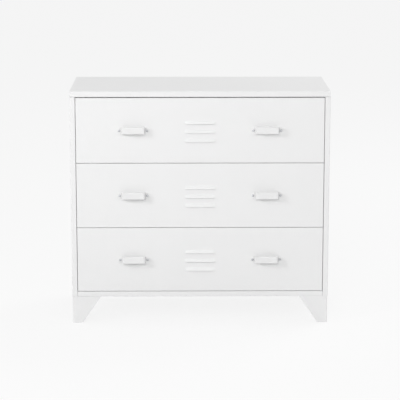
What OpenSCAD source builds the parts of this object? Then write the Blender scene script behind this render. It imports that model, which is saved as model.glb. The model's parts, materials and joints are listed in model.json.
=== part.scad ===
// Sheet-metal chest of three equal drawers on four folded corner feet. Lengths are in millimetres.
// X is the width, +Y runs from the front to the back, +Z is up. The origin is at floor level, under
// the middle of the overall box, handles included. Modules are written from the case's front plane,
// where y = 0 and the case runs back to y = case_d, and placed() moves them into the part's frame.

/* [Overall] */
// Width of the case over its side panels
case_w = 900; // [700:1:1100]
// Depth of the case from its front plane to its back
case_d = 400; // [330:1:520]
// Height from the floor to the top
total_h = 825; // [680:1:1000]

/* [Sheet metal] */
// Thickness of the case and drawer sheets
sheet_t = 1; // [0.8:0.1:1.2]
// Outer radius of a fold
bend_r = 2; // [1.6:0.1:2.6]
// Gap between sheets that meet edge to edge
seam = 0.3; // [0.2:0.1:0.5]

/* [Case] */
// Height of the top panel's folded rim
rim_h = 20; // [16:1:30]
// Depth of the hem that the rim and the bottom rail fold back into
hem_d = 15; // [12:1:18]
// Width of the side panels' front and rear flanges
flange_w = 18; // [16:1:24]
// Depth of the lip that the front flange folds back into
lip_d = 14; // [10:1:16]
// Width of the side panels' top and bottom flanges
tuck_w = 15; // [12:1:15]
// Height of the rail under the bottom drawer
rail_h = 18; // [14:1:24]
// Height of the bottom panel's rear upturn
floor_upturn = 12; // [8:1:14]
// Height of the case's underside above the floor
foot_h = 97; // [80:1:120]

/* [Wall fixing] */
// Distance between the two wall-fixing holes in the back panel
wall_hole_gap = 600; // [400:1:640]
// Radius of a wall-fixing hole
wall_hole_r = 3; // [2:0.1:4]
// Distance of the wall-fixing holes below the top
wall_hole_drop = 45; // [35:1:60]

/* [Uprights] */
// Width of an upright along the depth
upright_w = 30; // [25:1:32]
// Distance from the front plane to the front uprights
upright_front = 30; // [28:1:32]
// Distance from the back of the case to the rear uprights' rear edge
upright_back = 35; // [34:1:37]

/* [Feet] */
// Thickness of a foot's plate
foot_t = 2; // [1.5:0.1:3]
// Outer radius of a foot's fold
foot_bend_r = 3.5; // [3.2:0.1:5]
// Distance of a foot's plates inside the case's outline
foot_inset = 1.5; // [0.5:0.1:3]
// Width of a foot's plate at the top
foot_top_w = 100; // [92:1:130]
// Width of a foot's plate at the bottom
foot_bottom_w = 34; // [34:1:50]
// Radius of the plate's lower inner corner
foot_corner_r = 7; // [3:1:12]
// Clearance of a foot's plates above the floor
foot_clear = 1.5; // [1:0.1:2]
// Width of the tab that is bolted under the case
tab_w = 24; // [22:1:40]
// Radius of a glide's pad
glide_r = 12; // [9:0.5:13]
// Height of a glide's pad
glide_h = 4; // [3:0.5:6]
// Radius of a glide's stem
glide_stem_r = 3; // [2.5:0.1:4]

/* [Drawers] */
// Gap between a drawer front and the side flanges
side_gap = 1.5; // [1.2:0.1:3]
// Gap between drawer fronts, and under the bottom one
row_gap = 1.5; // [1.2:0.1:4]
// Gap between the top rim and the top drawer front
top_gap = 3; // [1.5:0.1:4]
// Depth of a drawer front's folded pan
pan_d = 15; // [12:0.5:16]
// Distance from a front's bottom edge up to the drawer box
side_lift = 12; // [8:1:20]
// Distance from the drawer box's top up to the front's top edge
side_drop = 40; // [25:1:60]
// Width of the flanges that hold the drawer's pieces together
box_flange = 12; // [10:1:15]
// Distance from a drawer's rear to the back of the case
back_room = 31; // [25:1:32]

/* [Louvres] */
// Width of a louvre
louvre_w = 112; // [80:1:160]
// Number of louvres in a drawer front
louvre_n = 3; // [1:1:4]
// Distance from one louvre to the next
louvre_pitch = 31.5; // [20:0.5:36]
// Distance of the row's middle below the middle of the front
louvre_drop = 9; // [0:1:15]
// Height of a louvre's hood
hood_h = 13; // [9:0.5:16]
// Projection of a louvre's hood
hood_out = 4.5; // [3:0.5:6]

/* [Handles] */
// Distance from the middle of the front to a handle's middle
handle_x = 232; // [150:1:260]
// Distance between a handle's two screws
handle_screws = 96; // [90:1:128]
// Projection of a handle from the drawer front
handle_out = 28; // [24:1:34]
// Thickness of a handle's strip
handle_t = 2; // [1.5:0.1:2.5]
// Radius of a handle's round ears
ear_r = 8; // [7:0.5:9]
// Width of a grip along its flat front
grip_w = 74; // [60:1:76]
// Height of a grip above the screws' level
grip_rise = 16; // [9:1:18]
// Depth of the fold along a grip's top
grip_fold = 8; // [6:0.5:10]

/* [Runners] */
// Thickness of a closed runner
runner_t = 12.7; // [12.5:0.1:13.5]
// Height of a runner
runner_h = 35; // [33:1:45]
// Thickness of a runner's web
runner_web = 1.2; // [1:0.1:1.4]
// Thickness of a runner's ball tracks
track_t = 2; // [1.8:0.1:2.4]
// Distance from the front plane to the runners
runner_front = 18; // [17:0.5:20]
// Distance from the runners' rear to the back of the case
runner_back = 32; // [32:1:34]
// Height of a runner's middle above the drawer box's bottom
runner_lift = 45; // [30:1:60]
// Length of the members that still overlap when a drawer is open
runner_overlap = 100; // [96:1:120]
// Diameter of a runner's balls
ball_d = 4.76; // [4.5:0.01:4.9]
// Clearance between a ball and its track
ball_gap = 0.05; // [0.04:0.01:0.08]
// Distance between the balls in a cage
ball_pitch = 24; // [10:1:26]

/* [Fasteners] */
// Radius of a handle screw
handle_screw_r = 1.9; // [1.7:0.1:2.6]
// Radius of a foot bolt
foot_bolt_r = 3; // [2.5:0.1:3.2]
// Radius of the runner screws, runner rivets and back panel screws
small_screw_r = 1.9; // [1.5:0.1:2.2]
// Clearance around a fastener in its hole
hole_gap = 0.1; // [0.05:0.05:0.3]

/* [Hidden] */
ROWS = ["bottom", "middle", "top"];
SIDES = ["left", "right"];
ENDS = ["front", "rear"];
$fn = 32;

paint = [0.93, 0.93, 0.94];
zinc = [0.78, 0.79, 0.81];
nylon = [0.85, 0.85, 0.83];

// Frame: half of the handles' projection moves the case back from the middle of the overall box
front_y = handle_out - (case_d + handle_out) / 2;

// Case
half_w = case_w / 2;
opening_half = half_w - flange_w;
rim_z = total_h - rim_h;
floor_top = foot_h + 2 * sheet_t;
upright_back_y = case_d - upright_back - upright_w;
upright_y = [upright_front, upright_back_y];

// Drawers, from the bottom row up
first_z = foot_h + rail_h + row_gap;
rows_h = rim_z - top_gap - first_z;
front_h = (rows_h - 2 * row_gap) / len(ROWS);
front_w = 2 * (opening_half - side_gap);
box_half = opening_half - runner_t;
box_rear = case_d - back_room;
box_h = front_h - side_lift - side_drop;
box_hem = 10;
function row_z(i) = first_z + i * (front_h + row_gap);
function box_z(i) = row_z(i) + side_lift;

// Fasteners
head_h = 3;
head_r = 4;
bolt_head_r = 5;
low_head_h = 1;
low_head_r = 4;
nut_h = 4;
nut_r = 4.8;
recess_w = 1;
recess_l = 4.4;
recess_d = 1.3;
glide_stem_l = 9;
foot_bolt_x = 9;
foot_bolt_y = [20, 75];
back_screw_x = half_w - flange_w / 2;
back_screw_rows = 4;
back_screw_margin = 40;

// Handles
ear_x = handle_screws / 2;
handle_bend_r = 1.5 * handle_t;
leg_foot_x = ear_x - head_r - 1.4 * handle_t;

// Runners: u is measured from the upright towards the drawer, v from the runner's middle up
runner_l = case_d - runner_front - runner_back;
ball_u = runner_t / 2;
track_r = ball_d / 2 + ball_gap;
track_land = 1.9;
case_track_v = runner_h / 2 - track_t;
ball_v = case_track_v - track_land;
drawer_track_v = ball_v - track_land;
track_reach = 3.7;
cage_l = runner_overlap - 4;
cage_mid = runner_front + runner_l / 2;
cage_t = 0.6;
cage_u = 2.6;
cage_arm_t = 1;
cage_arm_end = runner_t - 2.7;
pocket_gap = 0.15;
balls_per_track = 4;
runner_screw_y = [for (y = upright_y) y + upright_w / 2];
rivet_y = [runner_front + 60, runner_front + runner_l - 60];

function unit(v) = v / norm(v);
function left_of(v) = [-v.y, v.x];

// Points of an arc of radius r that rounds the corner at p, between directions from a and to b
function corner_arc(a, p, b, r, steps = 6) =
    let (
        u = unit(a - p),
        v = unit(b - p),
        half = acos(u * v) / 2,
        centre = p + unit(u + v) * r / sin(half),
        from = p + u * r / tan(half) - centre,
        to = p + v * r / tan(half) - centre,
        a0 = atan2(from.y, from.x),
        sweep = atan2(to.y, to.x) - a0,
        turn = sweep > 180 ? sweep - 360 : sweep < -180 ? sweep + 360 : sweep
    )
    [for (k = [0 : steps]) centre + r * [cos(a0 + turn * k / steps), sin(a0 + turn * k / steps)]];

// One edge of a folded strip: the path itself, or the same path moved shift to its left
function strip_edge(path, shift, t, r) =
    let (last = len(path) - 1, step = [for (i = [0 : last - 1]) unit(path[i + 1] - path[i])])
    [for (i = [0 : last]) each
        i == 0 ? [path[0] + shift * left_of(step[0])] :
        i == last ? [path[last] + shift * left_of(step[last - 1])] :
        let (
            a = step[i - 1],
            b = step[i],
            p = path[i] + shift * (left_of(a) + left_of(b)) / (1 + a * b),
            turns_left = a.x * b.y - a.y * b.x > 0,
            outside = turns_left == (shift == 0)
        )
        corner_arc(p - a, p, p + b, outside ? r : r - t)];

// Cross-section of a folded strip that lies to the left of its path
module folded_strip(path, t = sheet_t, r = bend_r) {
    back = strip_edge(path, t, t, r);
    polygon(concat(strip_edge(path, 0, t, r), [for (i = [len(back) - 1 : -1 : 0]) back[i]]));
}

module block(low, high) translate(low) cube(high - low);
module placed() translate([0, front_y, 0]) children();
module along_x(from, to) translate([from, 0, 0]) rotate([90, 0, 90]) linear_extrude(to - from) children();
module along_y(from, to) translate([0, to, 0]) rotate([90, 0, 0]) linear_extrude(to - from) children();
module along_z(from, to) translate([0, 0, from]) linear_extrude(to - from) children();
module flip(axis, on) if (on) mirror(axis) children(); else children();
// Pieces of a pair are written on the right and mirrored for the left, where side is 0
module on_side(side) flip([1, 0, 0], side == 0) children();
// A foot is written with x and y running inwards from its corner of the case
module at_corner(side, end)
    translate([side == 0 ? -half_w : half_w, end == 0 ? 0 : case_d, 0])
        flip([1, 0, 0], side == 1) flip([0, 1, 0], end == 1) children();
// Round bar along +X or -Y
module bar_x(r, from, to) translate([from, 0, 0]) rotate([0, 90, 0]) cylinder(r = r, h = to - from);
module bar_y(r, from, to) translate([0, to, 0]) rotate([90, 0, 0]) cylinder(r = r, h = to - from);

// Screw along -Z whose head stands on z = 0: a domed head with a cross recess
module pan_screw(r, length, wide = head_r, high = head_h) {
    edge_h = high / 2;
    dome_r = (wide * wide + edge_h * edge_h) / (2 * edge_h);
    translate([0, 0, -length]) cylinder(r = r, h = length);
    difference() {
        intersection() {
            cylinder(r = wide, h = high);
            translate([0, 0, high - dome_r]) sphere(dome_r, $fn = 64);
        }
        for (turn = [0, 90]) rotate(turn) translate([0, 0, high])
            cube([recess_l, recess_w, 2 * min(recess_d, high * 0.6)], center = true);
    }
}

// Hexagonal nut on z = 0, around a screw of radius r
module nut(r) difference() {
    cylinder(r = nut_r, h = nut_h, $fn = 6);
    translate([0, 0, -1]) cylinder(r = r + ball_gap, h = nut_h + 2);
}

// ---- Case ----

module top_panel() placed() color(paint) difference() {
    along_x(-half_w, half_w) folded_strip([
        [case_d - hem_d, rim_z], [case_d, rim_z], [case_d, total_h],
        [0, total_h], [0, rim_z], [hem_d, rim_z]
    ]);
    // The hems stop short of the side panels' lips and rear flanges
    for (side = [0, 1]) on_side(side)
        block([opening_half - seam, sheet_t, rim_z - 1],
              [half_w + 1, case_d - sheet_t, rim_z + bend_r + 1]);
}

module side_panel(side) placed() color(paint) on_side(side) {
    difference() {
        along_z(foot_h, rim_z - seam) folded_strip([
            [opening_half, lip_d], [opening_half, 0], [half_w, 0],
            [half_w, case_d], [opening_half, case_d]
        ]);
        // Notch for the bottom panel, which passes behind the front flange
        block([opening_half - 1, sheet_t, foot_h - 1],
              [half_w - bend_r, lip_d + 1, floor_top + seam]);
        side_panel_holes();
    }
    // Web beside the top's rim, stepped back from the rim's fold, and the top and bottom flanges
    block([half_w - sheet_t, sheet_t + seam, rim_z - 1],
          [half_w, case_d - sheet_t - seam, total_h - bend_r - seam]);
    block([half_w - sheet_t, bend_r + seam, rim_z],
          [half_w, case_d - bend_r - seam, total_h - sheet_t]);
    block([half_w - tuck_w - sheet_t, bend_r + seam, total_h - 2 * sheet_t],
          [half_w, case_d - bend_r - seam, total_h - sheet_t]);
    difference() {
        block([half_w - tuck_w - sheet_t, bend_r, foot_h],
              [half_w - sheet_t / 2, case_d - bend_r, foot_h + sheet_t]);
        foot_bolt_holes();
    }
}

module side_panel_holes()
    for (z = back_screw_z()) translate([back_screw_x, 0, z])
        bar_y(small_screw_r + hole_gap, case_d - 3 * sheet_t, case_d + 1);

function back_screw_z() =
    let (low = floor_top + back_screw_margin, high = rim_z - back_screw_margin)
    [for (k = [0 : back_screw_rows - 1]) low + (high - low) * k / (back_screw_rows - 1)];

module foot_bolt_holes()
    for (y = foot_bolt_y) for (hole_y = [y, case_d - y])
        translate([half_w - foot_bolt_x, hole_y, foot_h - 1])
            cylinder(r = foot_bolt_r + hole_gap, h = 3 * sheet_t + 2);

module back_panel() placed() color(paint) difference() {
    block([-half_w + sheet_t + seam, case_d - 2 * sheet_t, foot_h + sheet_t + seam],
          [half_w - sheet_t - seam, case_d - sheet_t, rim_z - seam]);
    for (side = [0, 1]) on_side(side) {
        side_panel_holes();
        // Corners of the sheet clear the fold of the side panels' rear flange
        block([half_w - bend_r, case_d - 3 * sheet_t, foot_h - 1], [half_w, case_d, rim_z + 1]);
        translate([wall_hole_gap / 2, 0, total_h - wall_hole_drop])
            bar_y(wall_hole_r, case_d - 3 * sheet_t, case_d + 1);
    }
}

module bottom_panel() placed() color(paint) difference() {
    union() {
        block([-half_w + sheet_t + seam, bend_r + seam, foot_h + sheet_t],
              [half_w - sheet_t - seam, case_d - 2 * sheet_t, floor_top]);
        block([-half_w + sheet_t + seam, case_d - 3 * sheet_t, foot_h + sheet_t],
              [half_w - sheet_t - seam, case_d - 2 * sheet_t, foot_h + sheet_t + floor_upturn]);
    }
    for (side = [0, 1]) on_side(side) foot_bolt_holes();
}

module bottom_rail() placed() color(paint)
    along_x(-opening_half + seam, opening_half - seam) folded_strip([
        [hem_d, foot_h + rail_h], [0, foot_h + rail_h], [0, foot_h], [hem_d, foot_h]
    ]);

// Channel that carries the runners: it stands on the bottom panel against the side panel
module upright(side, end) placed() color(paint) on_side(side) difference() {
    along_z(floor_top, total_h - 2 * sheet_t - seam) translate([0, upright_y[end]]) folded_strip([
        [opening_half, upright_w], [opening_half, 0],
        [half_w - sheet_t, 0], [half_w - sheet_t, upright_w]
    ]);
    for (i = [0 : len(ROWS) - 1])
        translate([0, runner_screw_y[end], box_z(i) + runner_lift])
            bar_x(small_screw_r + hole_gap, opening_half - 1, opening_half + 2 * sheet_t);
}

// ---- Feet ----

// Outline of a foot's plate: upright at the corner, slanted on the inner side
module foot_outline() {
    low = [foot_inset + foot_bottom_w, foot_clear];
    high = [foot_inset + foot_top_w, foot_h];
    corner = [foot_inset, foot_clear];
    polygon(concat([[foot_inset, foot_h], corner], corner_arc(corner, low, high, foot_corner_r), [high]));
}

module foot(side, end) placed() color(paint) at_corner(side, end) difference() {
    union() {
        intersection() {
            along_z(foot_clear, foot_h) folded_strip([
                [foot_inset, foot_inset + foot_top_w], [foot_inset, foot_inset],
                [foot_inset + foot_top_w, foot_inset]
            ], foot_t, foot_bend_r);
            along_y(0, foot_inset + foot_top_w + 1) foot_outline();
            along_x(0, foot_inset + foot_top_w + 1) foot_outline();
        }
        // Tab under the case, folded from the side plate
        block([foot_inset + foot_t / 2, foot_inset + foot_bend_r, foot_h - foot_t],
              [foot_inset + tab_w, foot_bolt_y[1] + tab_w / 2, foot_h]);
        // Tab over the glide
        block([foot_inset + 0.75 * foot_t, foot_inset + 0.75 * foot_t, glide_h],
              [foot_inset + foot_bottom_w - foot_corner_r / 2,
               foot_inset + foot_bottom_w - foot_corner_r / 2, glide_h + foot_t]);
    }
    for (y = foot_bolt_y) translate([foot_bolt_x, y, foot_h - foot_t - 1])
        cylinder(r = foot_bolt_r + hole_gap, h = foot_t + 2);
    translate([glide_place(), glide_place(), glide_h - 1])
        cylinder(r = glide_stem_r + hole_gap, h = foot_t + 2);
}

function glide_place() = foot_inset + foot_t + glide_r + 1;

module foot_glides() placed() color(nylon)
    for (side = [0, 1]) for (end = [0, 1]) at_corner(side, end)
        translate([glide_place(), glide_place(), 0]) {
            cylinder(r1 = glide_r - 1, r2 = glide_r, h = 1);
            translate([0, 0, 1]) cylinder(r = glide_r, h = glide_h - 1);
            cylinder(r = glide_stem_r, h = glide_stem_l);
        }

module foot_bolts() placed() color(zinc)
    for (side = [0, 1]) for (end = [0, 1]) at_corner(side, end)
        for (y = foot_bolt_y) translate([foot_bolt_x, y, foot_h - foot_t]) {
            mirror([0, 0, 1])
                pan_screw(foot_bolt_r, foot_t + 2 * sheet_t + nut_h + 2, bolt_head_r);
            translate([0, 0, foot_t + 2 * sheet_t]) nut(foot_bolt_r);
        }

module back_panel_screws() placed() color(zinc)
    for (side = [0, 1]) on_side(side)
        for (z = back_screw_z()) translate([back_screw_x, case_d - 2 * sheet_t, z])
            rotate([90, 0, 0]) pan_screw(small_screw_r, 2 * sheet_t, low_head_r, 2);

// ---- Runners ----

// Writes a section in u and v at its place on the right-hand side of row i
module runner_place(i) translate([opening_half, 0, box_z(i) + runner_lift]) children();
module runner_length(from, to) along_y(from, to) mirror([1, 0]) children();

module ball_tracks() for (v = [-ball_v, ball_v]) translate([ball_u, v]) circle(track_r);

module case_runner(i, side) placed() color(zinc) on_side(side) runner_place(i) difference() {
    runner_length(runner_front, runner_front + runner_l) difference() {
        translate([0, -runner_h / 2]) square([runner_t - track_reach, runner_h]);
        translate([runner_web, -case_track_v]) square([runner_t, 2 * case_track_v]);
        ball_tracks();
    }
    for (y = runner_screw_y) translate([0, y, 0])
        bar_x(small_screw_r + hole_gap, -2 * runner_web, 1);
}

module drawer_runner(i, side) placed() color(zinc) on_side(side) runner_place(i) difference() {
    runner_length(runner_front, runner_front + runner_l) difference() {
        translate([track_reach + seam, -drawer_track_v])
            square([runner_t - track_reach - seam, 2 * drawer_track_v]);
        translate([0, -drawer_track_v + track_t])
            square([runner_t - runner_web, 2 * (drawer_track_v - track_t)]);
        ball_tracks();
    }
    for (y = rivet_y) translate([0, y, 0])
        bar_x(small_screw_r + hole_gap, -runner_t - 1, -runner_t + 2 * runner_web);
}

// Cage that keeps the balls apart, with its balls: it runs half as far as the drawer
module ball_cage(i, side) placed() color(zinc) on_side(side) runner_place(i) {
    difference() {
        runner_length(cage_mid - cage_l / 2, cage_mid + cage_l / 2) difference() {
            translate([cage_u, -ball_v - cage_arm_t / 2])
                square([cage_arm_end - cage_u, 2 * ball_v + cage_arm_t]);
            translate([cage_u + cage_t, -ball_v + cage_arm_t / 2])
                square([cage_arm_end, 2 * ball_v - cage_arm_t]);
        }
        at_balls() translate([0, 0, -2 * cage_arm_t])
            cylinder(r = ball_d / 2 + pocket_gap, h = 4 * cage_arm_t);
    }
    at_balls() sphere(ball_d / 2);
}

module at_balls()
    for (v = [-ball_v, ball_v]) for (k = [0 : balls_per_track - 1])
        translate([-ball_u, cage_mid + (k - (balls_per_track - 1) / 2) * ball_pitch, v]) children();

module case_runner_screws() placed() color(zinc)
    for (side = [0, 1]) on_side(side) for (i = [0 : len(ROWS) - 1]) runner_place(i)
        for (y = runner_screw_y) translate([-runner_web, y, 0]) rotate([0, -90, 0])
            pan_screw(small_screw_r, runner_web + sheet_t + 5, low_head_r, low_head_h);

// ---- Drawers ----

// Block whose four front edges are round: the outside or the inside of a folded pan
module pan_block(w, h, d, r) intersection() {
    along_x(-w / 2, w / 2) translate([0, h / 2]) rotate(-90) pan_plan(h, d, r);
    along_z(0, h) pan_plan(w, d, r);
}

module pan_plan(w, d, r) {
    translate([-w / 2, r]) square([w, d - r]);
    translate([-w / 2 + r, 0]) square([w - 2 * r, d]);
    for (s = [-1, 1]) translate([s * (w / 2 - r), r]) circle(r);
}

function louvre_z() = [for (k = [0 : louvre_n - 1])
    front_h / 2 - louvre_drop + (k - (louvre_n - 1) / 2) * louvre_pitch];

// Section of a louvre's hood above its lower edge: t inwards for the hollow side
module hood_section(t) polygon([
    [0, hood_h - 2 * t], [-hood_out + t, hood_h / 4], [-hood_out + t, t > 0 ? -1 : 0],
    [sheet_t + 1, t > 0 ? -1 : 0], [sheet_t + 1, hood_h - 2 * t]
]);

module drawer_front(i) placed() color(paint) translate([0, 0, row_z(i)]) difference() {
    union() {
        difference() {
            pan_block(front_w, front_h, pan_d, bend_r);
            translate([0, sheet_t, sheet_t])
                pan_block(front_w - 2 * sheet_t, front_h - 2 * sheet_t, pan_d, bend_r - sheet_t);
        }
        for (z = louvre_z()) translate([0, 0, z]) intersection() {
            along_x(-louvre_w / 2, louvre_w / 2) hood_section(0);
            block([-louvre_w, -hood_out, 0], [louvre_w, sheet_t, hood_h]);
        }
    }
    for (z = louvre_z()) translate([0, 0, z])
        along_x(-louvre_w / 2 + sheet_t, louvre_w / 2 - sheet_t) hood_section(sheet_t);
    for (side = [0, 1]) on_side(side) for (x = [-ear_x, ear_x])
        translate([handle_x + x, 0, front_h / 2])
            bar_y(handle_screw_r + hole_gap, -1, sheet_t + 1);
}

module drawer_side(i, side) placed() color(paint) on_side(side) translate([0, 0, box_z(i)]) {
    difference() {
        along_y(sheet_t, box_rear) folded_strip([
            [box_half - box_flange, 0], [box_half, 0], [box_half, box_h]
        ]);
        for (y = rivet_y) translate([0, y, runner_lift])
            bar_x(small_screw_r + hole_gap, box_half - 2 * sheet_t, box_half + 1);
    }
    // Closed hem along the top, and the flange that is welded to the front
    block([box_half - 2 * sheet_t, 2 * sheet_t + seam, box_h - box_hem],
          [box_half - sheet_t / 2, box_rear - sheet_t - seam, box_h]);
    block([box_half - box_flange, sheet_t, bend_r], [box_half - sheet_t / 2, 2 * sheet_t, box_h]);
}

module drawer_floor(i) placed() color(paint) translate([0, 0, box_z(i)]) {
    wide = box_half - bend_r - seam;
    block([-wide, 2 * sheet_t, sheet_t], [wide, box_rear, 2 * sheet_t]);
    block([-wide, 2 * sheet_t, sheet_t], [wide, 3 * sheet_t, sheet_t + box_flange]);
}

module drawer_back(i) placed() color(paint) translate([0, 0, box_z(i)]) {
    wide = box_half - sheet_t;
    block([-wide, box_rear - sheet_t, 2 * sheet_t], [wide, box_rear, box_h]);
    block([-wide + sheet_t + seam, box_rear - 2 * sheet_t, box_h - box_hem],
          [wide - sheet_t - seam, box_rear - sheet_t / 2, box_h]);
    for (side = [0, 1]) on_side(side)
        block([wide - sheet_t, box_rear - box_flange, 2 * sheet_t],
              [wide, box_rear - sheet_t / 2, box_h - box_hem - seam]);
}

// Strip seen from the front: round ears, legs that widen, and the grip between them
module handle_outline() {
    for (s = [-1, 1]) translate([s * ear_x, 0]) circle(ear_r);
    polygon([
        [-ear_x, -ear_r], [ear_x, -ear_r], [ear_x, ear_r], [grip_w / 2, grip_rise],
        [-grip_w / 2, grip_rise], [-ear_x, ear_r]
    ]);
}

module drawer_handle(i, side) placed() color(paint)
    translate([side == 0 ? -handle_x : handle_x, 0, row_z(i) + front_h / 2]) {
        grip_half = grip_w / 2;
        inside_y = -handle_out + handle_t;
        grip_end = grip_half - 2 * handle_t;
        difference() {
            intersection() {
                along_z(-ear_r, grip_rise) folded_strip([
                    [ear_x + ear_r, 0], [leg_foot_x, 0], [grip_half, inside_y],
                    [-grip_half, inside_y], [-leg_foot_x, 0], [-ear_x - ear_r, 0]
                ], handle_t, handle_bend_r);
                along_y(-handle_out - 1, 1) handle_outline();
            }
            block([-grip_end, -handle_out - 1, -ear_r - 1], [grip_end, -handle_out / 2, grip_rise + 1]);
            for (x = [-ear_x, ear_x]) translate([x, 0, 0])
                bar_y(handle_screw_r + hole_gap, -handle_t - 1, 1);
        }
        along_x(-grip_end, grip_end) folded_strip([
            [-handle_out + grip_fold, grip_rise], [-handle_out, grip_rise], [-handle_out, -ear_r]
        ], handle_t, 2 * handle_t);
    }

// Handle screws with their nuts, and the rivets that hold the runners to the drawer's sides
module drawer_fasteners(i) placed() color(zinc) for (side = [0, 1]) on_side(side) {
    for (x = [-ear_x, ear_x]) translate([handle_x + x, 0, row_z(i) + front_h / 2]) {
        translate([0, -handle_t, 0]) rotate([90, 0, 0])
            pan_screw(handle_screw_r, handle_t + sheet_t + nut_h + 1);
        translate([0, sheet_t, 0]) rotate([-90, 0, 0]) nut(handle_screw_r);
    }
    for (y = rivet_y) runner_place(i) translate([-runner_t, y, 0]) {
        bar_x(small_screw_r, -sheet_t - 1, runner_web + 1);
        bar_x(low_head_r, runner_web, runner_web + 1);
        bar_x(low_head_r - 1, -sheet_t - 1, -sheet_t);
    }
}

// ---- Pieces ----

top_panel();
back_panel();
bottom_panel();
bottom_rail();
foot_glides();
foot_bolts();
back_panel_screws();
case_runner_screws();
for (s = [0, 1]) {
    side_panel(s);
    for (e = [0, 1]) {
        upright(s, e);
        foot(s, e);
    }
}
for (i = [0 : len(ROWS) - 1]) {
    drawer = str(ROWS[i], "_drawer_");
    drawer_front(i);
    drawer_floor(i);
    drawer_back(i);
    drawer_fasteners(i);
    for (s = [0, 1]) {
        drawer_side(i, s);
        drawer_handle(i, s);
        drawer_runner(i, s);
        case_runner(i, s);
        ball_cage(i, s);
    }
}
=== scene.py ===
import json
import math

import bmesh
import bpy
from mathutils import Matrix, Vector

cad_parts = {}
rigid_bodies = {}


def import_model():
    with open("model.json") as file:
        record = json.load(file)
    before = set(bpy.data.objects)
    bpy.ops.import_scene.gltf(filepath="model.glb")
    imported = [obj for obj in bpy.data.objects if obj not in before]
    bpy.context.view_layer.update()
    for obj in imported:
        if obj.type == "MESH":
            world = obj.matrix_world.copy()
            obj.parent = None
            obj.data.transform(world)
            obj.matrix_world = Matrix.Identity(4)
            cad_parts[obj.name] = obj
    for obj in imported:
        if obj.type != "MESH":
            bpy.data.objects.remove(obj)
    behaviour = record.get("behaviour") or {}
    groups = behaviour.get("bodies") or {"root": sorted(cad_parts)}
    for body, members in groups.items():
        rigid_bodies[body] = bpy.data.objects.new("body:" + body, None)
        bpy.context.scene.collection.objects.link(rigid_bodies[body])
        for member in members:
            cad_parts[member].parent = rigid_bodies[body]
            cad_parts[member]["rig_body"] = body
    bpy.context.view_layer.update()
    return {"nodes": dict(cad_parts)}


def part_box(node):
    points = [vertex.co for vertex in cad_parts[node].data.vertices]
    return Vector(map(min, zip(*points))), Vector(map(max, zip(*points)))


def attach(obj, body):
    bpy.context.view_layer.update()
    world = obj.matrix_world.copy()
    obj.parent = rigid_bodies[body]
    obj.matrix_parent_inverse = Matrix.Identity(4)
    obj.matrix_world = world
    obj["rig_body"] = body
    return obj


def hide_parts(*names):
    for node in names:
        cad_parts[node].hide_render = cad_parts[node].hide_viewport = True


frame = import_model()


# ---- Camera ----
# The photograph was taken a little left of the middle from about six metres, looking down by
# eleven degrees through a long lens. Its frame is square.

CAMERA_PLACE = (-0.061, -5.89, 1.595)
LOOKS_DOWN = 0.1992
LOOKS_RIGHT = 0.0106
SENSOR = 36
LENS = 150.2

camera_data = bpy.data.cameras.new("camera")
camera_data.sensor_width = SENSOR
camera_data.lens = LENS
camera = bpy.data.objects.new("camera", camera_data)
camera.location = CAMERA_PLACE
camera.rotation_euler = (math.pi / 2 - LOOKS_DOWN, 0, -LOOKS_RIGHT)
bpy.context.scene.collection.objects.link(camera)
bpy.context.scene.camera = camera


# ---- Studio ----
# A plain pale floor under soft light from all round. A small softbox at the left throws faint
# shadows to the lower right, a larger one high in front draws thin ones under the louvres and
# grips, one at the right fills them, and one behind lights the top.

bpy.context.scene.view_settings.view_transform = "Standard"


class Socket:
    """One output of a shader node. Arithmetic on it adds Math nodes to its tree."""

    def __init__(self, tree, output=None):
        self.tree = tree
        self.output = output

    def node(self, kind, settings=None, inputs=None, output=0):
        """Adds a node: its settings first, then the value or link of each named input."""
        made = self.tree.nodes.new("ShaderNode" + kind)
        for name, value in (settings or {}).items():
            setattr(made, name, value)
        for name, value in (inputs or {}).items():
            if isinstance(value, Socket):
                self.tree.links.new(value.output, made.inputs[name])
            else:
                made.inputs[name].default_value = value
        return Socket(self.tree, made.outputs[output] if made.outputs else None)

    def maths(self, operation, first, second):
        """Adds a Math node on two values or sockets."""
        return self.node("Math", {"operation": operation}, {0: first, 1: second})

    def __add__(self, other):
        return self.maths("ADD", self, other)

    def __mul__(self, other):
        return self.maths("MULTIPLY", self, other)

    __radd__ = __add__
    __rmul__ = __mul__


def empty_tree(owner):
    """The node tree of a material or of the world, emptied."""
    owner.use_nodes = True
    owner.node_tree.nodes.clear()
    return Socket(owner.node_tree)


def between(tree, factor, first, second):
    """A colour between two others. 6, 7 and 2 are a Mix node's sockets for colours."""
    return tree.node("Mix", {"data_type": "RGBA"}, {0: factor, 6: first, 7: second}, output=2)


def seen_directly(tree):
    """1 for what the camera, a reflection or a view through glass sees, 0 for light on surfaces."""
    path = tree.node("LightPath")
    outputs = path.output.node.outputs
    rays = [Socket(tree.tree, outputs[n])
            for n in ("Is Camera Ray", "Is Glossy Ray", "Is Transmission Ray")]
    return rays[0].maths("MAXIMUM", rays[0].maths("MAXIMUM", rays[0], rays[1]), rays[2])


BACKDROP = (0.94, 0.94, 0.94, 1)
SKY = (0.50, 0.50, 0.50, 1)

world = bpy.data.worlds.new("studio")
bpy.context.scene.world = world
tree = empty_tree(world)
sky = between(tree, seen_directly(tree), SKY, BACKDROP)
tree.node("OutputWorld", inputs={"Surface": tree.node("Background", inputs={"Color": sky})})

FLOOR_SIZE = 120
FLOOR_COLOUR = 0.80
FLOOR_GLOW = 1.0
FLOOR_GLOW_SHARE = 0.85

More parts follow.
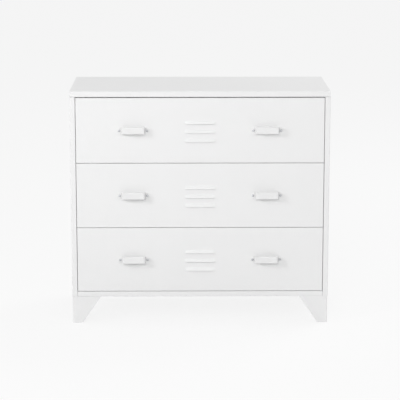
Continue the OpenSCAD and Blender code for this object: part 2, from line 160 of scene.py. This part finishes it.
bpy.ops.mesh.primitive_plane_add(size=FLOOR_SIZE)
floor = bpy.context.object
floor.name = "studio_floor"
paper = bpy.data.materials.new("floor_paper")
tree = empty_tree(paper)
lit = tree.node("BsdfDiffuse", inputs={"Color": (FLOOR_COLOUR, FLOOR_COLOUR, FLOOR_COLOUR, 1)})
glow = tree.node("Emission", inputs={"Strength": FLOOR_GLOW})
tree.node("OutputMaterial", inputs={"Surface": tree.node(
    "MixShader", inputs={0: seen_directly(tree) * FLOOR_GLOW_SHARE, 1: lit, 2: glow})})
floor.data.materials.append(paper)


CHEST_MIDDLE = Vector((0, -0.2, 0.45))


def softbox(name, place, size, watts):
    """A square lamp that faces the middle of the chest."""
    data = bpy.data.lights.new(name, "AREA")
    data.size = size
    data.energy = watts
    lamp = bpy.data.objects.new(name, data)
    lamp.location = place
    lamp.rotation_euler = (CHEST_MIDDLE - Vector(place)).to_track_quat("-Z", "Y").to_euler()
    bpy.context.scene.collection.objects.link(lamp)


softbox("key_softbox", place=(-2.6, -2.3, 1.9), size=0.9, watts=31)
softbox("front_softbox", place=(-0.9, -6.2, 2.9), size=1.4, watts=90)
softbox("right_softbox", place=(2.2, -3.4, 2.0), size=1.6, watts=14)
softbox("rear_softbox", place=(2.6, 2.0, 3.6), size=2.0, watts=59)


# ---- Case sheets ----
# One millimetre steel, cut, folded on a press and spot welded: the bottom panel and its front rail,
# the side panels with the uprights inside them, the back panel, and the top folded round them all.

WHITE = (0.86, 0.86, 0.86, 1)
WHITE_SHADE = (0.848, 0.849, 0.85, 1)
WHITE_ROUGHNESS = 0.40
COAT_IOR = 1.5
FILM_SCALE = 7.0
PEEL_SCALE = 850.0
PEEL_DEPTH = 0.00006
PAINTED_EDGE = 0.0003
WELD_WITHIN = 2e-6
FLAT_ANGLE = 0.5
EDGE_ANGLE = 40


def new_finish(name, **surface):
    """An empty material with one Principled shader, and its tree to build on."""
    material = bpy.data.materials.new(name)
    tree = empty_tree(material)
    shader = tree.node("BsdfPrincipled", inputs=surface)
    tree.node("OutputMaterial", inputs={"Surface": shader})
    return material, tree, shader.output.node


def wire(shader, **inputs):
    """Links sockets to a shader, with an underscore for each space in an input's name."""
    for name, value in inputs.items():
        value.tree.links.new(value.output, shader.inputs[name.replace("_", " ")])


def powder_coat(name, light, shade, roughness):
    """Satin powder coat: even in colour, with a fine orange peel about a millimetre across."""
    material, tree, shader = new_finish(name, IOR=COAT_IOR)
    place = tree.node("TexCoord", output="Object")
    film = tree.node("TexNoise", inputs={"Vector": place, "Scale": FILM_SCALE, "Detail": 2.0})
    peel = tree.node("TexNoise", inputs={"Vector": place, "Scale": PEEL_SCALE, "Detail": 1.0})
    wire(shader,
         Base_Color=between(tree, film, light, shade),
         Roughness=roughness + film * 0.08 + peel * 0.05,
         Normal=tree.node("Bump", inputs={"Height": peel, "Strength": 0.35,
                                          "Distance": PEEL_DEPTH}))
    return material


white_coat = powder_coat("white_powder_coat", WHITE, WHITE_SHADE, WHITE_ROUGHNESS)


def soften(piece, width):
    """Rounds the cut edges of a CAD piece by a little, as its coat of paint does."""
    for face in piece.data.polygons:
        face.use_smooth = True
    weld = piece.modifiers.new("weld", "WELD")
    weld.merge_threshold = WELD_WITHIN
    flat = piece.modifiers.new("flat_faces", "DECIMATE")
    flat.decimate_type = "DISSOLVE"
    flat.angle_limit = math.radians(FLAT_ANGLE)
    edges = piece.modifiers.new("edges", "BEVEL")
    edges.width = width
    edges.segments = 2
    edges.limit_method = "ANGLE"
    edges.angle_limit = math.radians(EDGE_ANGLE)
    shading = piece.modifiers.new("shading", "WEIGHTED_NORMAL")
    shading.weight = 100


def finish_node(node, material, edge=PAINTED_EDGE):
    """Gives a CAD node its finish and rounds its edges."""
    piece = frame["nodes"][node]
    piece.data.materials.clear()
    piece.data.materials.append(material)
    soften(piece, edge)


CORNERS = {"front_left": (-1, -1), "front_right": (1, -1),
           "rear_left": (-1, 1), "rear_right": (1, 1)}

for sheet in ("bottom_panel", "bottom_rail", "left_side_panel", "right_side_panel", "back_panel",
              "top_panel", *(corner + "_upright" for corner in CORNERS)):
    finish_node(sheet, white_coat)


# ---- Feet ----
# Two millimetre plates folded round the corners of the case, tapered towards the floor and bolted
# up through the bottom panel by their top tabs. They are coated with the case.

FOOT_EDGE = 0.0005

for corner in CORNERS:
    finish_node(corner + "_foot", white_coat, FOOT_EDGE)


# ---- Foot glides ----
# Moulded nylon discs that the feet stand on. The barbed stem of each is pressed into a hole in the
# lower tab of its foot.

GLIDE_SIDES = 48
GLIDE_INSET = 0.0165
GLIDE_STEPS = [(0.0106, 0), (0.0115, 0.0003), (0.012, 0.001), (0.012, 0.0033), (0.0117, 0.0038),
               (0.011, 0.004), (0.003, 0.004), (0.003, 0.0062), (0.0034, 0.0064), (0.0027, 0.0076),
               (0.0032, 0.0078), (0.0022, 0.009)]
NYLON = (0.80, 0.80, 0.78, 1)
NYLON_SHADE = (0.76, 0.76, 0.735, 1)
NYLON_IOR = 1.53
CLOUD_SCALE = 120.0
GRAIN_SCALE = 2600.0
GRAIN_DEPTH = 0.00003


def moulded_nylon():
    """Natural nylon with the faint grain of its mould."""
    material, tree, shader = new_finish("moulded_nylon", IOR=NYLON_IOR)
    place = tree.node("TexCoord", output="Object")
    cloud = tree.node("TexNoise", inputs={"Vector": place, "Scale": CLOUD_SCALE, "Detail": 2.0})
    grain = tree.node("TexNoise", inputs={"Vector": place, "Scale": GRAIN_SCALE, "Detail": 1.0})
    wire(shader,
         Base_Color=between(tree, cloud, NYLON, NYLON_SHADE),
         Roughness=0.44 + cloud * 0.12,
         Normal=tree.node("Bump", inputs={"Height": grain, "Strength": 0.4,
                                          "Distance": GRAIN_DEPTH}))
    return material


def choose(kind, test):
    """In edit mode, selects the vertices, edges or faces whose middle passes the test."""
    bpy.ops.mesh.select_all(action="DESELECT")
    bpy.ops.mesh.select_mode(type=kind)
    mesh = bmesh.from_edit_mesh(bpy.context.edit_object.data)
    parts = {"VERT": mesh.verts, "EDGE": mesh.edges, "FACE": mesh.faces}[kind]
    for part in parts:
        corners = [part] if kind == "VERT" else part.verts
        middle = sum((corner.co for corner in corners), Vector()) / len(corners)
        if test(middle, part):
            part.select_set(True)
    bmesh.update_edit_mesh(bpy.context.edit_object.data)


def push(x=0.0, y=0.0, z=0.0):
    """Extrudes what is selected."""
    bpy.ops.mesh.extrude_region_move(TRANSFORM_OT_translate={"value": (x, y, z)})


def turned(name, sides, steps):
    """A round piece built up from its lower end: each step gives its next radius and height."""
    radius, height = steps[0]
    bpy.ops.object.select_all(action="DESELECT")
    bpy.ops.mesh.primitive_circle_add(vertices=sides, radius=radius, fill_type="NGON",
                                      location=(0, 0, height))
    piece = bpy.context.object
    piece.name = piece.data.name = name
    bpy.ops.object.transform_apply(location=True)
    bpy.ops.object.mode_set(mode="EDIT")
    bpy.ops.mesh.select_all(action="SELECT")
    for next_radius, next_height in steps[1:]:
        push(z=next_height - height)
        scale = next_radius / radius
        bpy.ops.transform.resize(value=(scale, scale, 1), center_override=(0, 0, next_height))
        radius, height = next_radius, next_height
    bpy.ops.mesh.select_all(action="SELECT")
    bpy.ops.mesh.normals_make_consistent(inside=False)
    bpy.ops.object.mode_set(mode="OBJECT")
    return piece


def shade(piece, degrees):
    """Smooth shading, with a hard edge where faces meet at more than an angle."""
    bpy.ops.object.select_all(action="DESELECT")
    piece.select_set(True)
    bpy.context.view_layer.objects.active = piece
    bpy.ops.object.shade_smooth_by_angle(angle=math.radians(degrees))


def joined_copies(model, places):
    """Copies of a model at some places, joined to one piece. The model goes."""
    copies = []
    for place in places:
        copy = model.copy()
        copy.data = model.data.copy()
        copy.data.transform(place)
        bpy.context.scene.collection.objects.link(copy)
        copies.append(copy)
    bpy.data.objects.remove(model)
    return join(copies)


def join(pieces):
    """Joins pieces to the first of them."""
    bpy.ops.object.select_all(action="DESELECT")
    for piece in pieces:
        piece.select_set(True)
    bpy.context.view_layer.objects.active = pieces[0]
    bpy.ops.object.join()
    return pieces[0]


def stand_in(piece, node, material, shift=(0, 0, 0)):
    """Puts a copy of a modelled piece, with its own mesh, in a CAD node's place."""
    copy = piece.copy()
    copy.data = piece.data.copy()
    copy.name = copy.data.name = node + "_piece"
    copy.data.transform(Matrix.Translation(shift))
    copy.data.materials.clear()
    copy.data.materials.append(material)
    bpy.context.scene.collection.objects.link(copy)
    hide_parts(node)
    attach(copy, frame["nodes"][node]["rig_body"])


def at_corner(corner, x_in, y_in, z):
    """A point so far in from the sides of the case at one of its corners."""
    low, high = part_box("top_panel")
    side, end = CORNERS[corner]
    return Vector(((high.x - x_in) * side, high.y - y_in if end > 0 else low.y + y_in, z))


glide = turned("foot_glide", GLIDE_SIDES, GLIDE_STEPS)
shade(glide, degrees=40)
glides = joined_copies(glide, [Matrix.Translation(at_corner(corner, GLIDE_INSET, GLIDE_INSET, 0))
                               for corner in CORNERS])
stand_in(glides, "foot_glides", moulded_nylon())
bpy.data.objects.remove(glides)


# ---- Bolts and screws of the case ----
# Zinc-plated cross-head steel: bolts with nuts through the feet, short screws that fix the back
# panel from inside, and flat-headed ones that carry the case runners on the uprights.

ZINC_SCREW = (0.55, 0.56, 0.58, 1)
ZINC_SCREW_DULL = (0.46, 0.47, 0.49, 1)
THREAD_PITCH = 0.0007
THREAD_DEPTH = 0.0003
NUT_RADIUS = 0.0048
NUT_HEIGHT = 0.004
NUT_CHAMFER = 0.0004
SHEET = 0.001
FOOT_SHEET = 0.002
FOOT_HEIGHT = 0.097
FOOT_BOLT_RADIUS = 0.003
FOOT_BOLT_PLACES = (0.020, 0.075)
FOOT_BOLT_X = 0.009
FOOT_BOLT_HEAD = 0.005
FOOT_BOLT_HEAD_HEIGHT = 0.003
FOOT_BOLT_END = 0.002
HOLE_GAP = 0.0001
SMALL_SCREW_RADIUS = 0.0019
SMALL_SCREW_HEAD = 0.004
BACK_SCREW_HEAD_HEIGHT = 0.002
BACK_SCREW_X = 0.441
BACK_SCREW_HEIGHTS = 4
SPANGLE_SCALE = 90.0
LINE_DEPTH = 0.00004
SCREW_SIDES = 32
HEAD_DOME = (1.0, 0.94, 0.85, 0.72, 0.55, 0.3)
RECESS_LENGTH = 0.88
RECESS_WIDTH = 0.2
RECESS_DEPTH = 0.55
RECESS_TAPER = 0.55


def zinc_plate(name, bright, dull, roughness, scale):
    """Zinc plate: cloudy spangle and fine lines, drawn out along the axes with a small scale."""
    material, tree, shader = new_finish(name, Metallic=1.0)
    place = tree.node("TexCoord", output="Object")
    drawn = tree.node("Mapping", inputs={"Vector": place, "Scale": scale})
    lines = tree.node("TexNoise", inputs={"Vector": drawn, "Scale": 1.0, "Detail": 3.0})
    cloud = tree.node("TexNoise", inputs={"Vector": place, "Scale": SPANGLE_SCALE, "Detail": 2.0})
    wire(shader,
         Base_Color=between(tree, lines * 0.6 + cloud * 0.4, bright, dull),
         Roughness=roughness + lines * 0.10 + cloud * 0.06,
         Normal=tree.node("Bump", inputs={"Height": lines, "Strength": 0.3,
                                          "Distance": LINE_DEPTH}))
    return material


zinc_screws = zinc_plate("zinc_plated_screws", ZINC_SCREW, ZINC_SCREW_DULL,
                         roughness=0.30, scale=(900, 900, 900))


def apply_modifier(piece, kind, **settings):
    """Adds one modifier and applies it, in object mode."""
    modifier = piece.modifiers.new(kind.lower(), kind)
    for name, value in settings.items():
        setattr(modifier, name, value)
    bpy.context.view_layer.objects.active = piece
    bpy.ops.object.modifier_apply(modifier=modifier.name)


def cut_away(piece, cutter):
    """Cuts a closed shape out of a piece. The shape goes."""
    apply_modifier(piece, "BOOLEAN", object=cutter, operation="DIFFERENCE", solver="EXACT")
    bpy.data.objects.remove(cutter)


def drill(piece, radius, place, length, rotation=(0, 0, 0)):
    """Drills a round hole through a piece."""
    bpy.ops.object.select_all(action="DESELECT")
    bpy.ops.mesh.primitive_cylinder_add(vertices=24, radius=radius, depth=length, location=place,
                                        rotation=rotation)
    cutter = bpy.context.object
    bpy.ops.object.transform_apply(location=True, rotation=True)
    cut_away(piece, cutter)


def model_nut(bore):
    """A hexagonal nut on z = 0, its corners turned down at both ends."""
    nut = turned("nut", 6, [(NUT_RADIUS - NUT_CHAMFER, 0), (NUT_RADIUS, NUT_CHAMFER),
                            (NUT_RADIUS, NUT_HEIGHT - NUT_CHAMFER),
                            (NUT_RADIUS - NUT_CHAMFER, NUT_HEIGHT)])
    drill(nut, bore, (0, 0, NUT_HEIGHT / 2), 3 * NUT_HEIGHT)
    shade(nut, degrees=25)
    return nut


def model_screw(name, radius, length, head, high):
    """A domed screw whose head stands on z = 0, with a cross recess and the thread's ridges."""
    rim = high / 2
    dome = (head * head + rim * rim) / (2 * rim)
    ridges = int((length - 2 * THREAD_DEPTH) / THREAD_PITCH)
    steps = [(radius - 1.5 * THREAD_DEPTH, -length)]
    for ridge in range(ridges):
        foot = THREAD_DEPTH - length + ridge * THREAD_PITCH
        steps += [(radius, foot), (radius - THREAD_DEPTH, foot + THREAD_PITCH / 2)]
    steps += [(radius, -THREAD_DEPTH / 2), (radius, 0), (0.97 * head, 0), (head, 0.03 * head)]
    for share in HEAD_DOME:
        across = share * head
        steps.append((across, high - dome + math.sqrt(dome * dome - across * across)))
    screw = turned(name, SCREW_SIDES, steps)
    for turn in (0, math.pi / 2):
        bpy.ops.object.select_all(action="DESELECT")
        bpy.ops.mesh.primitive_cube_add(size=1, location=(0, 0, high), rotation=(0, 0, turn))
        bar = bpy.context.object
        bar.scale = (RECESS_LENGTH * head, RECESS_WIDTH * head, 2 * RECESS_DEPTH * high)
        bpy.ops.object.transform_apply(location=True, rotation=True, scale=True)
        bpy.ops.object.mode_set(mode="EDIT")
        choose("VERT", lambda at, part: at.z < high)
        bpy.ops.transform.resize(value=(RECESS_TAPER, RECESS_TAPER, 1), center_override=(0, 0, 0))
        bpy.ops.object.mode_set(mode="OBJECT")
        cut_away(screw, bar)
    shade(screw, degrees=38)
    return screw


def turned_to(x=0.0, y=0.0):
    """Turns a screw that points up about the X axis, then the Y axis, in degrees."""
    return Matrix.Rotation(math.radians(y), 4, "Y") @ Matrix.Rotation(math.radians(x), 4, "X")


bolt_places = []
for corner, (side, end) in CORNERS.items():
    for inset in FOOT_BOLT_PLACES:
        bolt_places.append(at_corner(corner, FOOT_BOLT_X, inset, FOOT_HEIGHT - FOOT_SHEET))
bolt = model_screw("foot_bolt", FOOT_BOLT_RADIUS,
                   FOOT_SHEET + 2 * SHEET + NUT_HEIGHT + FOOT_BOLT_END,
                   FOOT_BOLT_HEAD, FOOT_BOLT_HEAD_HEIGHT)
bolts = joined_copies(bolt, [Matrix.Translation(at) @ turned_to(x=180) for at in bolt_places])
nuts = joined_copies(model_nut(FOOT_BOLT_RADIUS + HOLE_GAP), [
    Matrix.Translation(at + Vector((0, 0, FOOT_SHEET + 2 * SHEET))) for at in bolt_places])
feet_fixings = join([bolts, nuts])
stand_in(feet_fixings, "foot_bolts", zinc_screws)
bpy.data.objects.remove(feet_fixings)

low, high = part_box("back_panel_screws")
first, last = low.z + SMALL_SCREW_HEAD, high.z - SMALL_SCREW_HEAD
screw = model_screw("back_panel_screw", SMALL_SCREW_RADIUS, 2 * SHEET,
                    SMALL_SCREW_HEAD, BACK_SCREW_HEAD_HEIGHT)
screws = joined_copies(screw, [
    Matrix.Translation((side * BACK_SCREW_X, high.y - 2 * SHEET,
                        first + (last - first) * step / (BACK_SCREW_HEIGHTS - 1)))
    @ turned_to(x=90) for side in (-1, 1) for step in range(BACK_SCREW_HEIGHTS)])
stand_in(screws, "back_panel_screws", zinc_screws)
bpy.data.objects.remove(screws)


# ---- Case runners and ball cages ----
# Roll-formed zinc-plated channels on the uprights, and cages of eight steel balls that run in them
# half as far as the drawers.

ROWS = ("bottom", "middle", "top")
SIDES = {"left": -1, "right": 1}
RUNNER_WEB = 0.0012
RUNNER_EDGE = 0.00015
CAGE_EDGE = 0.0001
RUNNER_SCREW_END = 0.005
RUNNER_SCREW_HEAD_HEIGHT = 0.001
ZINC_RUNNER = (0.66, 0.67, 0.69, 1)
ZINC_RUNNER_DULL = (0.57, 0.58, 0.60, 1)

rolled_zinc = zinc_plate("rolled_zinc", ZINC_RUNNER, ZINC_RUNNER_DULL,
                         roughness=0.26, scale=(2200, 12, 2200))

runner_screws = []
for row in ROWS:
    for name, side in SIDES.items():
        node = f"{row}_{name}_case_runner"
        finish_node(node, rolled_zinc, RUNNER_EDGE)
        finish_node(f"{row}_{name}_ball_cage", rolled_zinc, CAGE_EDGE)
        low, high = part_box(node)
        for upright in ("front", "rear"):
            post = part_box(f"{upright}_{name}_upright")
            web = high.x if side > 0 else low.x
            runner_screws.append(Matrix.Translation((
                web - side * RUNNER_WEB, (post[0].y + post[1].y) / 2, (low.z + high.z) / 2))
                @ turned_to(y=-90 * side))
screw = model_screw("case_runner_screw", SMALL_SCREW_RADIUS,
                    RUNNER_WEB + SHEET + RUNNER_SCREW_END,
                    SMALL_SCREW_HEAD, RUNNER_SCREW_HEAD_HEIGHT)
screws = joined_copies(screw, runner_screws)
stand_in(screws, "case_runner_screws", zinc_screws)
bpy.data.objects.remove(screws)


# ---- Drawer boxes ----
# Floor, back and sides of one millimetre steel, their edges folded in, spot welded to each other
# and coated like the case.

for row in ROWS:
    for sheet in ("floor", "back", "left_side", "right_side"):
        finish_node(f"{row}_drawer_{sheet}", white_coat)


# ---- Drawer runners ----
# The inner channels of the slides, roll-formed and zinc-plated like those of the case. Each is
# riveted along the side of its drawer.

for row in ROWS:
    for name in SIDES:
        finish_node(f"{row}_drawer_{name}_runner", rolled_zinc, RUNNER_EDGE)


# ---- Drawer fronts ----
# A pan of one millimetre steel with its four edges folded back and its corners welded and ground
# smooth. Three louvres are lanced along their lower edge and pressed out of the sheet.

FRONT_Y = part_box("bottom_rail")[0].y
FOLD_RADIUS = 0.002
FRONT_EDGE = 0.0002
CUT_ANGLE = 50
LOUVRE_WIDTH = 0.112
LOUVRE_HEIGHT = 0.013
LOUVRE_OUT = FRONT_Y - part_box("top_drawer_front")[0].y
LOUVRE_PITCH = 0.0315
LOUVRE_DROP = 0.009
LOUVRE_END = 0.010
LOUVRE_END_ROUNDING = 0.8
LOUVRE_HOOD_ROUNDING = 1.4
LOUVRE_CUTS = 13
HANDLE_X = 0.232
EAR_X = 0.048
HANDLE_HOLE = 0.002


def near(value, target, room=1e-5):
    """True for two lengths that are the same."""
    return abs(value - target) < room


def runs_along(edge, axis):
    """True for an edge that runs along one axis, 0 for X to 2 for Z."""
    step = edge.verts[1].co - edge.verts[0].co
    return near(abs(step[axis]), step.length)


def upright_plane(name, left, right, y, bottom, top):
    """A vertical plane that faces the front, open for editing."""
    bpy.ops.object.select_all(action="DESELECT")
    bpy.ops.mesh.primitive_plane_add(size=1, rotation=(math.pi / 2, 0, 0))
    piece = bpy.context.object
    piece.name = piece.data.name = name
    piece.dimensions = (right - left, top - bottom, 0)
    piece.location = ((left + right) / 2, y, (bottom + top) / 2)
    bpy.ops.object.transform_apply(location=True, rotation=True, scale=True)
    bpy.ops.object.mode_set(mode="EDIT")
    return piece


def louvre_bulge(across, up):
    """How far a louvre stands out of the sheet, from its ends and from its lower edge."""
    from_end = min(1.0, max(0.0, (LOUVRE_WIDTH / 2 - abs(across)) / LOUVRE_END))
    up = min(1.0, max(0.0, up))
    return (LOUVRE_OUT * math.sin(math.pi / 2 * from_end) ** LOUVRE_END_ROUNDING
            * math.cos(math.pi / 2 * up) ** LOUVRE_HOOD_ROUNDING)


def press_louvre(lip):
    """Lances the front along the louvre's lower edge and presses the sheet above it out."""
    half = LOUVRE_WIDTH / 2
    choose("FACE", lambda at, face: abs(at.x) < half and lip < at.z < lip + LOUVRE_HEIGHT
           and near(at.y, FRONT_Y))
    bpy.ops.mesh.subdivide(number_cuts=LOUVRE_CUTS)
    choose("EDGE", lambda at, edge: near(at.z, lip) and abs(at.x) < half and near(at.y, FRONT_Y))
    bpy.ops.mesh.edge_split(type="EDGE")
    mesh = bmesh.from_edit_mesh(bpy.context.edit_object.data)
    hood = {corner for face in mesh.faces for corner in face.verts
            if abs(face.calc_center_median().x) < half
            and lip < face.calc_center_median().z < lip + LOUVRE_HEIGHT
            and near(face.calc_center_median().y, FRONT_Y)}
    for corner in hood:
        corner.co.y -= louvre_bulge(corner.co.x, (corner.co.z - lip) / LOUVRE_HEIGHT)
    bmesh.update_edit_mesh(bpy.context.edit_object.data)


def model_drawer_front():
    """The bottom drawer's front, an open pan before its sheet has a thickness."""
    low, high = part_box("bottom_drawer_front")
    front = upright_plane("drawer_front", low.x, high.x, high.y, low.z, high.z)
    choose("FACE", lambda at, face: True)
    push(y=FRONT_Y - high.y)
    choose("FACE", lambda at, face: near(at.y, high.y))
    bpy.ops.mesh.delete(type="ONLY_FACE")
    choose("EDGE", lambda at, edge: near(at.y, FRONT_Y) or runs_along(edge, 1))
    bpy.ops.mesh.bevel(offset=FOLD_RADIUS, segments=5, affect="EDGES")
    lips = [(low.z + high.z) / 2 - LOUVRE_DROP + step * LOUVRE_PITCH for step in (-1, 0, 1)]
    cuts = [((side * LOUVRE_WIDTH / 2, 0, 0), (1, 0, 0)) for side in (-1, 1)]
    cuts += [((0, 0, lip + rise), (0, 0, 1)) for lip in lips for rise in (0, LOUVRE_HEIGHT)]
    for point, normal in cuts:
        choose("FACE", lambda at, face: near(at.y, FRONT_Y))
        bpy.ops.mesh.bisect(plane_co=point, plane_no=normal)
    for lip in lips:
        press_louvre(lip)
    bpy.ops.object.mode_set(mode="OBJECT")
    return front


def finish_sheet(piece, thickness, edge, holes, segments=2):
    """Thickens a sheet inwards, drills it, rounds its cut edges and shades its folds smooth."""
    apply_modifier(piece, "SOLIDIFY", thickness=thickness, offset=-1, use_even_offset=True)
    for hole in holes:
        drill(piece, HANDLE_HOLE, hole, 4 * thickness, (math.pi / 2, 0, 0))
    apply_modifier(piece, "BEVEL", width=edge, segments=segments, limit_method="ANGLE",
                   angle_limit=math.radians(CUT_ANGLE))
    for face in piece.data.polygons:
        face.use_smooth = True
    apply_modifier(piece, "WEIGHTED_NORMAL", weight=100)


def screw_level(row):
    """The height of a row's handle screws."""
    low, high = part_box(row + "_drawer_front")
    return (low.z + high.z) / 2


front = model_drawer_front()
finish_sheet(front, SHEET, FRONT_EDGE, [
    (side * HANDLE_X + ear * EAR_X, FRONT_Y, screw_level("bottom"))
    for side in SIDES.values() for ear in (-1, 1)])
for row in ROWS:
    stand_in(front, f"{row}_drawer_front", white_coat,
             (0, 0, screw_level(row) - screw_level("bottom")))
bpy.data.objects.remove(front)


# ---- Handles ----
# Two millimetre steel strip with round ears, bent out from the drawer and across it, the upper
# edge of the grip folded back between two relief slots. Each is coated on its own, in a white
# a little darker than the case's. The darker white is painted shade that holds the brighter-lit
# grip to the front's tone.

# Painted shade: this white is darker than the case's so that the grip, which catches more light,
# renders at the front's tone.
HANDLE_COAT_WITH_PAINTED_SHADE = (0.84, 0.84, 0.84, 1)
HANDLE_COAT_DARKER_TONE_WITH_PAINTED_SHADE = (0.828, 0.829, 0.83, 1)
HANDLE_ROUGHNESS = 0.36
HANDLE_SHEET = 0.002
HANDLE_EDGE = 0.00045
HANDLE_OUT = 0.028
EAR_RADIUS = 0.008
EAR_ROUNDING = 0.99
LEG_FOOT_X = 0.0429
LEG_FOOT_TOP = 0.0117
LEG_FOOT_BEND = 0.0009
GRIP_X = 0.0387
GRIP_TOP = 0.016
GRIP_BEND = 0.00265
GRIP_FOLD = 0.008
GRIP_FOLD_RADIUS = 0.004
SLOT_FROM, SLOT_TO = 0.033, 0.034
SLOT_DEPTH = 0.005

handle_coat_with_painted_shade = powder_coat("handle_powder_coat_with_painted_shade", HANDLE_COAT_WITH_PAINTED_SHADE, HANDLE_COAT_DARKER_TONE_WITH_PAINTED_SHADE,
                          HANDLE_ROUGHNESS)


def model_handle():
    """A handle about x = 0 and the level of its screws, before its strip has a thickness."""
    ear_y, grip_y = FRONT_Y - HANDLE_SHEET, FRONT_Y - HANDLE_OUT
    handle = upright_plane("handle", EAR_X, EAR_X + EAR_RADIUS, ear_y, -EAR_RADIUS, EAR_RADIUS)
    choose("EDGE", lambda at, edge: near(at.x, EAR_X))
    x, y = EAR_X, ear_y
    for next_x, next_y in ((LEG_FOOT_X, ear_y), (GRIP_X, grip_y), (-GRIP_X, grip_y),
                           (-LEG_FOOT_X, ear_y), (-EAR_X, ear_y), (-EAR_X - EAR_RADIUS, ear_y)):
        push(next_x - x, next_y - y)
        x, y = next_x, next_y
    for place, top in ((GRIP_X, GRIP_TOP), (LEG_FOOT_X, LEG_FOOT_TOP)):
        choose("VERT", lambda at, part: near(abs(at.x), place) and at.z > 0)
        bpy.ops.transform.translate(value=(0, 0, top - EAR_RADIUS))
    choose("EDGE", lambda at, edge: near(abs(at.x), GRIP_X))
    bpy.ops.mesh.bevel(offset=GRIP_BEND, segments=5, affect="EDGES")
    choose("EDGE", lambda at, edge: near(abs(at.x), LEG_FOOT_X) and near(at.y, ear_y))
    bpy.ops.mesh.bevel(offset=LEG_FOOT_BEND, segments=3, affect="EDGES")
    choose("VERT", lambda at, part: near(abs(at.x), EAR_X + EAR_RADIUS))
    bpy.ops.mesh.bevel(offset=EAR_ROUNDING * EAR_RADIUS, segments=8, affect="VERTICES")
    for cut in (-SLOT_TO, -SLOT_FROM, SLOT_FROM, SLOT_TO):
        choose("FACE", lambda at, face: near(at.y, grip_y))
        bpy.ops.mesh.bisect(plane_co=(cut, 0, 0), plane_no=(1, 0, 0))

    def in_slot(at, part):
        return near(at.y, grip_y) and SLOT_FROM < abs(at.x) < SLOT_TO

    choose("FACE", in_slot)
    bpy.ops.mesh.bisect(plane_co=(0, 0, GRIP_TOP - SLOT_DEPTH), plane_no=(0, 0, 1))
    choose("FACE", lambda at, face: in_slot(at, face) and at.z > GRIP_TOP - SLOT_DEPTH)
    bpy.ops.mesh.delete(type="FACE")
    choose("EDGE", lambda at, edge: near(at.z, GRIP_TOP) and near(at.x, 0))
    push(y=GRIP_FOLD)
    choose("EDGE", lambda at, edge: near(at.z, GRIP_TOP) and near(at.x, 0) and near(at.y, grip_y))
    bpy.ops.mesh.bevel(offset=GRIP_FOLD_RADIUS, segments=6, affect="EDGES")
    bpy.ops.object.mode_set(mode="OBJECT")
    return handle


handle = model_handle()
finish_sheet(handle, HANDLE_SHEET, HANDLE_EDGE,
             [(ear * EAR_X, FRONT_Y, 0) for ear in (-1, 1)], segments=3)
for row in ROWS:
    for name, side in SIDES.items():
        stand_in(handle, f"{row}_drawer_{name}_handle", handle_coat_with_painted_shade,
                 (side * HANDLE_X, 0, screw_level(row)))
bpy.data.objects.remove(handle)


# ---- Drawer fasteners ----
# Cross-head screws hold the handles, with nuts behind the front, and blind rivets hold the runners
# on the drawer's sides. All are zinc-plated steel.

RIVET_HEAD = 0.004
RIVET_TAIL = 0.003
RIVET_BORE = 0.0011
RIVET_FROM_END = 0.060
RIVET_SIDES = 28
HANDLE_SCREW_HEAD = 0.004
HANDLE_SCREW_HEAD_HEIGHT = 0.003
HANDLE_SCREW_END = 0.001


def model_rivet():
    """A blind rivet along Z: its tail below the drawer's side, its head on the runner's web."""
    tail = -SHEET
    head = RUNNER_WEB
    rivet = turned("rivet", RIVET_SIDES, [
        (0.75 * RIVET_TAIL, tail - 0.001), (RIVET_TAIL, tail - 0.0006), (RIVET_TAIL, tail - 0.0002),
        (0.9 * RIVET_TAIL, tail), (SMALL_SCREW_RADIUS, tail), (SMALL_SCREW_RADIUS, head),
        (0.96 * RIVET_HEAD, head), (RIVET_HEAD, head + 0.0002), (0.9 * RIVET_HEAD, head + 0.0006),
        (0.6 * RIVET_HEAD, head + 0.0009), (1.2 * RIVET_BORE, head + 0.001),
        (RIVET_BORE, head + 0.001), (0.95 * RIVET_BORE, head + 0.0004)])
    shade(rivet, degrees=40)
    return rivet


level = screw_level("bottom")
screw_places = [Vector((side * HANDLE_X + ear * EAR_X, FRONT_Y, level))
                for side in SIDES.values() for ear in (-1, 1)]
screw = model_screw("handle_screw", HANDLE_HOLE - HOLE_GAP,
                    HANDLE_SHEET + SHEET + NUT_HEIGHT + HANDLE_SCREW_END,
                    HANDLE_SCREW_HEAD, HANDLE_SCREW_HEAD_HEIGHT)
screws = joined_copies(screw, [Matrix.Translation(at - Vector((0, HANDLE_SHEET, 0)))
                               @ turned_to(x=90) for at in screw_places])
nuts = joined_copies(model_nut(HANDLE_HOLE), [Matrix.Translation(at + Vector((0, SHEET, 0)))
                                              @ turned_to(x=-90) for at in screw_places])
low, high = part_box("bottom_drawer_right_runner")
rivets = joined_copies(model_rivet(), [
    Matrix.Translation((side * low.x, y, (low.z + high.z) / 2)) @ turned_to(y=90 * side)
    for side in SIDES.values() for y in (low.y + RIVET_FROM_END, high.y - RIVET_FROM_END)])
fasteners = join([screws, nuts, rivets])
for row in ROWS:
    stand_in(fasteners, f"{row}_drawer_fasteners", zinc_screws,
             (0, 0, screw_level(row) - level))
bpy.data.objects.remove(fasteners)
